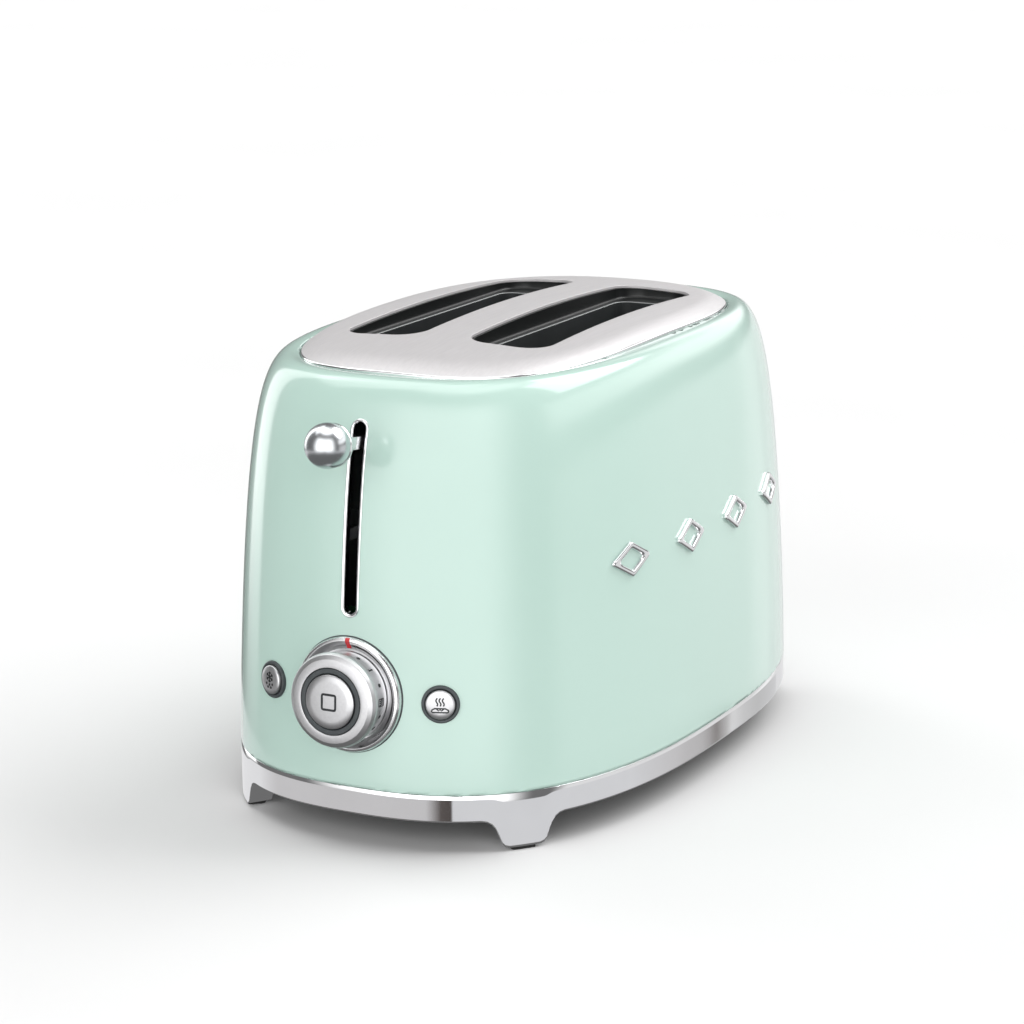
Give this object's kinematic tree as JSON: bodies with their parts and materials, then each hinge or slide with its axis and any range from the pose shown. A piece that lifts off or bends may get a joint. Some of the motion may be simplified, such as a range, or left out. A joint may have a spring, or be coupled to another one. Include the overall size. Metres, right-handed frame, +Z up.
{
  "type": "pop-up toaster",
  "caption": "Retro pop-up toaster with a rounded enamel shell, polished base band and feet, bread slots in a brushed top plate, a ball lever, a browning dial and push buttons.",
  "frame": {"origin": "middle of the whole footprint (body, ball lever in front and tray lip behind), on the floor", "axes": "+X to the right seen from the front, +Y from the lever end to the back, +Z up; -Y is the front with lever, dial and buttons"},
  "size_m": [0.195, 0.3368, 0.1987],
  "materials": {
    "enamel": "gloss enamel",
    "chrome": "polished",
    "steel": "satin",
    "satin_knob": "satin",
    "dark_plastic": "fine matt",
    "grey_plastic": "semi gloss",
    "rubber": "matt",
    "black_sheet": "satin black",
    "zinc_sheet": "plain sheet",
    "mica": "pressed flake board",
    "nichrome": "oxidised ribbon",
    "wire_steel": "plated wire",
    "spring_steel": "drawn wire",
    "soft_iron": "machined",
    "copper": "wound wire",
    "brass": "spring leaf",
    "circuit_board": "solder mask",
    "white_plastic": "moulded",
    "acetal": "moulded",
    "red_mark": "inlaid"
  },
  "bodies": {
    "root": {"body_shell": "enamel", "top_plate": "steel", "base_band": "chrome", "base_plate": "dark_plastic", "base_screws": "wire_steel", "cord_gland": "dark_plastic", "lever_slot_trim": "chrome", "dial_bezel": "chrome", "dial_pointer": "red_mark", "defrost_ring": "grey_plastic", "reheat_ring": "grey_plastic", "side_badge": "chrome", "front_chassis_plate": "zinc_sheet", "rear_chassis_plate": "zinc_sheet", "left_heater_board": "mica", "centre_heater_board": "mica", "right_heater_board": "mica", "left_heater_winding": "nichrome", "centre_heater_winding": "nichrome", "right_heater_winding": "nichrome", "guide_rod": "wire_steel", "anti_twist_rod": "wire_steel", "return_spring": "spring_steel", "magnet_core": "soft_iron", "magnet_coil": "copper", "control_board": "circuit_board", "board_components": "grey_plastic", "button_switches": "dark_plastic", "contact_blades": "brass", "potentiometer": "grey_plastic", "terminal_block": "white_plastic", "left_slot_liner": "black_sheet", "right_slot_liner": "black_sheet", "left_reflector": "zinc_sheet", "right_reflector": "zinc_sheet", "front_left_foot_pad": "rubber", "front_right_foot_pad": "rubber", "rear_left_foot_pad": "rubber", "rear_right_foot_pad": "rubber"},
    "carriage": {"carriage_slider": "zinc_sheet", "lever_arm": "zinc_sheet", "lever_collar": "satin_knob", "lever_ball": "chrome", "left_bread_rack": "wire_steel", "right_bread_rack": "wire_steel", "armature_plate": "soft_iron"},
    "dial": {"browning_dial": "satin_knob", "stop_ring": "grey_plastic", "dial_gear": "acetal"},
    "pot_spindle": {"pot_gear": "acetal"},
    "stop_key": {"stop_button": "satin_knob"},
    "defrost_key": {"defrost_button": "satin_knob"},
    "reheat_key": {"reheat_button": "satin_knob"},
    "tray": {"crumb_tray": "zinc_sheet", "crumb_tray_handle": "chrome"},
    "left_outer_guide": {"left_outer_bread_guide": "wire_steel"},
    "left_inner_guide": {"left_inner_bread_guide": "wire_steel"},
    "right_outer_guide": {"right_outer_bread_guide": "wire_steel"},
    "right_inner_guide": {"right_inner_bread_guide": "wire_steel"}
  },
  "joints": [
    {"name": "carriage_slide", "type": "slide", "parent": "root", "child": "carriage", "axis": [0, 0, -1], "range_m": [0, 0.065], "stiffness_N_per_m": 60, "springref_m": -0.1, "deforming": ["return_spring"]},
    {"name": "dial_turn", "type": "hinge", "parent": "root", "child": "dial", "pos_m": [0, -0.14689, 0.0633], "axis": [0, -0.9981, 0.061], "range_deg": [0, 270]},
    {"name": "pot_turn", "type": "hinge", "parent": "root", "child": "pot_spindle", "pos_m": [0.02, -0.14689, 0.0633], "axis": [0, -0.9981, 0.061], "range_deg": [-270, 0]},
    {"name": "stop_press", "type": "slide", "parent": "root", "child": "stop_key", "axis": [0, 0.9981, -0.061], "range_m": [0, 0.0015], "stiffness_N_per_m": 800, "springref_m": -0.0005},
    {"name": "crumb_tray_slide", "type": "slide", "parent": "root", "child": "tray", "axis": [0, 1, 0], "range_m": [0, 0.24]},
    {"name": "defrost_press", "type": "slide", "parent": "root", "child": "defrost_key", "axis": [0.3747, 0.9256, -0.0536], "range_m": [0, 0.0015], "stiffness_N_per_m": 800, "springref_m": -0.0005},
    {"name": "reheat_press", "type": "slide", "parent": "root", "child": "reheat_key", "axis": [-0.3747, 0.9256, -0.0536], "range_m": [0, 0.0015], "stiffness_N_per_m": 800, "springref_m": -0.0005},
    {"name": "left_outer_guide_lean", "type": "hinge", "parent": "root", "child": "left_outer_guide", "pos_m": [-0.044, 0.00745, 0.047], "axis": [0, 1, 0], "range_deg": [0, 4]},
    {"name": "left_inner_guide_lean", "type": "hinge", "parent": "root", "child": "left_inner_guide", "pos_m": [-0.0148, 0.00745, 0.047], "axis": [0, -1, 0], "range_deg": [0, 4]},
    {"name": "right_outer_guide_lean", "type": "hinge", "parent": "root", "child": "right_outer_guide", "pos_m": [0.044, 0.00745, 0.047], "axis": [0, -1, 0], "range_deg": [0, 4]},
    {"name": "right_inner_guide_lean", "type": "hinge", "parent": "root", "child": "right_inner_guide", "pos_m": [0.0148, 0.00745, 0.047], "axis": [0, 1, 0], "range_deg": [0, 4]}
  ],
  "couplings": [
    {"joint": "pot_turn", "follows": "dial_turn", "ratio": -1},
    {"joint": "left_outer_guide_lean", "follows": "carriage_slide", "rad_per_m": 1.073},
    {"joint": "left_inner_guide_lean", "follows": "carriage_slide", "rad_per_m": 1.073},
    {"joint": "right_outer_guide_lean", "follows": "carriage_slide", "rad_per_m": 1.073},
    {"joint": "right_inner_guide_lean", "follows": "carriage_slide", "rad_per_m": 1.073}
  ]
}
